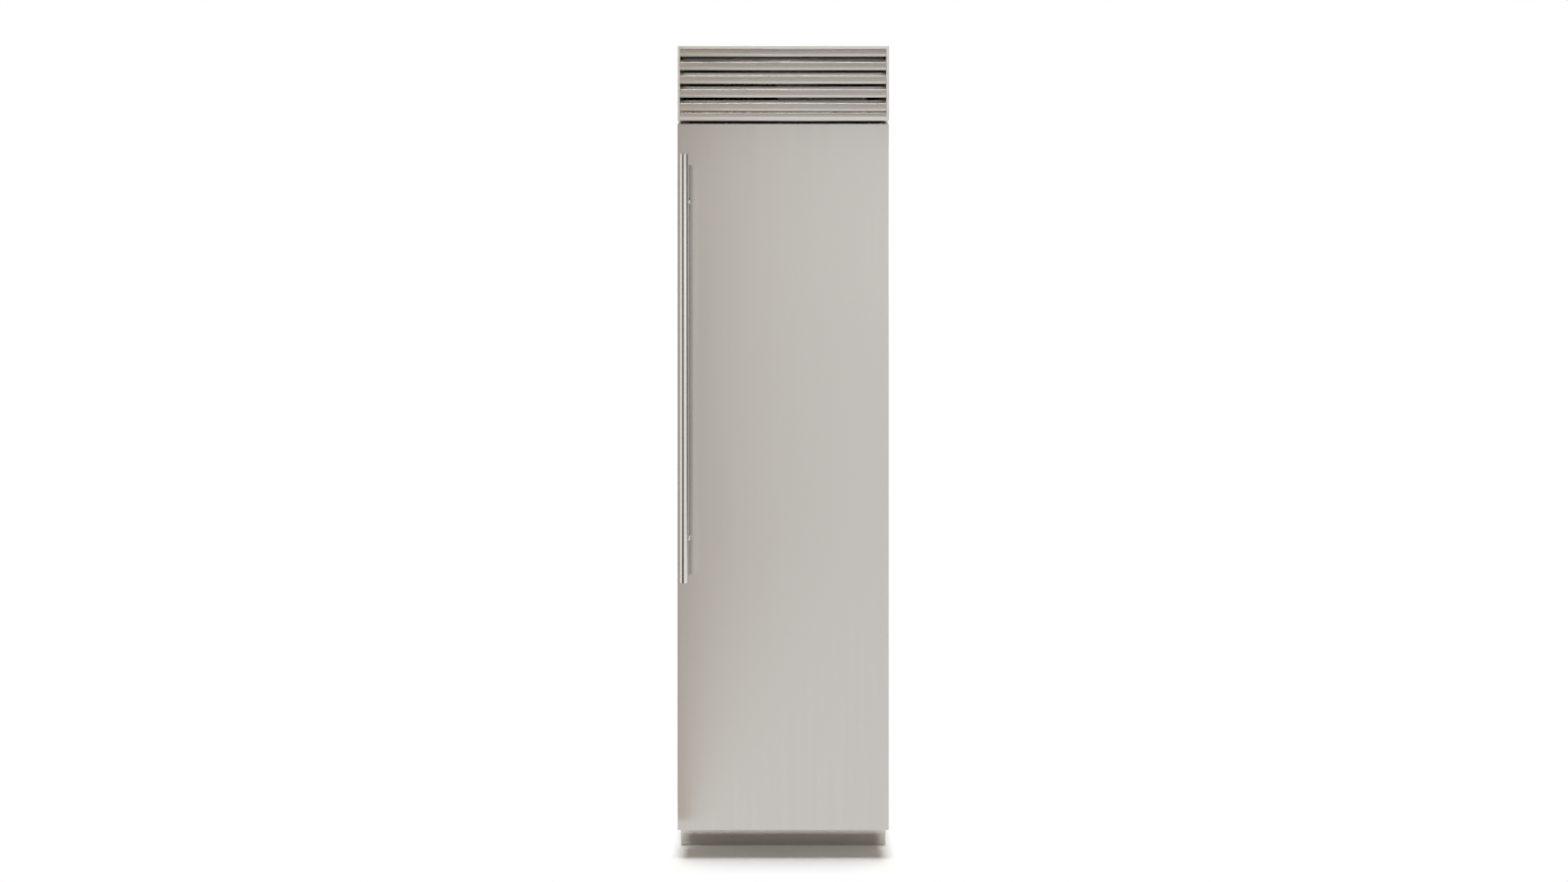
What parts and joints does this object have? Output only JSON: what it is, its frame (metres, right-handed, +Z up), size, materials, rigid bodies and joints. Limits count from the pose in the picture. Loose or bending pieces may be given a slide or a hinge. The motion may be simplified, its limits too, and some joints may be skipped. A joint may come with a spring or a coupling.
{
  "type": "column freezer",
  "caption": "Tall narrow built-in upright freezer: one right-hinged insulated door with a long bar handle, a tilting louvred grille above it and a recessed plinth below.",
  "frame": {"origin": "on the floor, under the middle of the appliance's overall box", "axes": "+Z up, the door faces -Y, +X to the right as seen from the front"},
  "size_m": [0.575, 0.681, 2.2145],
  "materials": {
    "brushed_steel": "stainless sheet with a vertical brushed grain",
    "satin_bar": "satin ground stainless bar",
    "zinc_steel": "zinc plated sheet steel",
    "grey_paint": "grey powder coat",
    "black_enamel": "black enamel",
    "aluminium": "mill finish",
    "copper": "drawn copper tube",
    "white_abs": "thermoformed white ABS",
    "black_plastic": "moulded black plastic",
    "nylon": "natural nylon",
    "clear_plastic": "clear moulded polystyrene",
    "shelf_glass": "toughened glass with a moulded front trim",
    "seal_rubber": "soft grey gasket",
    "foam": "rigid polyurethane foam",
    "light_diffuser": "frosted diffuser"
  },
  "bodies": {
    "cabinet": {"case_wrapper": "grey_paint", "rear_panel": "zinc_steel", "front_frame": "grey_paint", "insulation_foam": "foam", "inner_liner": "white_abs", "base_frame": "grey_paint", "plinth": "brushed_steel", "machine_tray": "zinc_steel", "machine_cover": "grey_paint", "compressor": "black_enamel", "condenser": "black_enamel", "condenser_fan_shroud": "black_plastic", "control_box": "grey_paint", "refrigerant_line": "copper", "hinge_bracket_top": "zinc_steel", "hinge_bracket_bottom": "zinc_steel", "grille_arm_left": "zinc_steel", "grille_arm_right": "zinc_steel", "roller_fork_left": "zinc_steel", "roller_fork_right": "zinc_steel", "evaporator": "aluminium", "duct_cover": "white_abs", "evaporator_fan_motor": "black_plastic", "glass_shelf_1": "shelf_glass", "glass_shelf_2": "shelf_glass", "glass_shelf_3": "shelf_glass", "light_bar_left": "light_diffuser", "light_bar_right": "light_diffuser"},
    "door": {"door_skin": "brushed_steel", "door_foam": "foam", "door_liner": "white_abs", "door_seal": "seal_rubber", "door_bin_1": "clear_plastic", "door_bin_2": "clear_plastic", "door_bin_3": "clear_plastic", "door_bush_top": "nylon", "door_bush_bottom": "nylon", "handle_bar": "satin_bar", "handle_post_top": "satin_bar", "handle_post_bottom": "satin_bar", "handle_screw_top": "zinc_steel", "handle_screw_bottom": "zinc_steel"},
    "grille": {"grille_frame": "brushed_steel", "grille_sill": "brushed_steel", "louvre_1": "brushed_steel", "louvre_2": "brushed_steel", "louvre_3": "brushed_steel", "louvre_4": "brushed_steel", "louvre_5": "brushed_steel"},
    "drawer_1": {"drawer_tub_1": "clear_plastic", "drawer_front_1": "clear_plastic"},
    "drawer_2": {"drawer_tub_2": "clear_plastic", "drawer_front_2": "clear_plastic"},
    "condenser_fan": {"condenser_fan": "black_plastic"},
    "evaporator_fan": {"evaporator_fan": "black_plastic"},
    "power_switch": {"power_switch": "black_plastic"},
    "front_foot_left": {"front_foot_left": "black_plastic"},
    "front_foot_right": {"front_foot_right": "black_plastic"},
    "rear_roller_left": {"rear_roller_left": "black_plastic"},
    "rear_roller_right": {"rear_roller_right": "black_plastic"}
  },
  "joints": [
    {"name": "door_swing", "type": "hinge", "parent": "cabinet", "child": "door", "pos_m": [0.2695, -0.2475, 0.079], "axis": [0, 0, 1], "range_deg": [0, 115]},
    {"name": "grille_tilt", "type": "hinge", "parent": "cabinet", "child": "grille", "pos_m": [0, -0.2495, 2.2025], "axis": [-1, 0, 0], "range_deg": [0, 75]},
    {"name": "drawer_1_slide", "type": "slide", "parent": "cabinet", "child": "drawer_1", "axis": [0, -1, 0], "range_m": [0, 0.03]},
    {"name": "drawer_2_slide", "type": "slide", "parent": "cabinet", "child": "drawer_2", "axis": [0, -1, 0], "range_m": [0, 0.03]},
    {"name": "condenser_fan_spin", "type": "hinge", "parent": "cabinet", "child": "condenser_fan", "pos_m": [-0.1495, -0.0915, 2.0771], "axis": [0, 1, 0], "continuous": true},
    {"name": "evaporator_fan_spin", "type": "hinge", "parent": "cabinet", "child": "evaporator_fan", "pos_m": [0, 0.2456, 1.34], "axis": [0, 1, 0], "continuous": true},
    {"name": "power_switch_rock", "type": "hinge", "parent": "cabinet", "child": "power_switch", "pos_m": [0.1515, -0.1727, 2.0571], "axis": [1, 0, 0], "range_deg": [-8, 8]},
    {"name": "left_foot_screw", "type": "slide", "parent": "cabinet", "child": "front_foot_left", "axis": [0, 0, -1], "range_m": [0, 0.015]},
    {"name": "right_foot_screw", "type": "slide", "parent": "cabinet", "child": "front_foot_right", "axis": [0, 0, -1], "range_m": [0, 0.015]},
    {"name": "left_roller_spin", "type": "hinge", "parent": "cabinet", "child": "rear_roller_left", "pos_m": [-0.2665, 0.2905, 0.024], "axis": [1, 0, 0], "continuous": true},
    {"name": "right_roller_spin", "type": "hinge", "parent": "cabinet", "child": "rear_roller_right", "pos_m": [0.2665, 0.2905, 0.024], "axis": [1, 0, 0], "continuous": true}
  ]
}
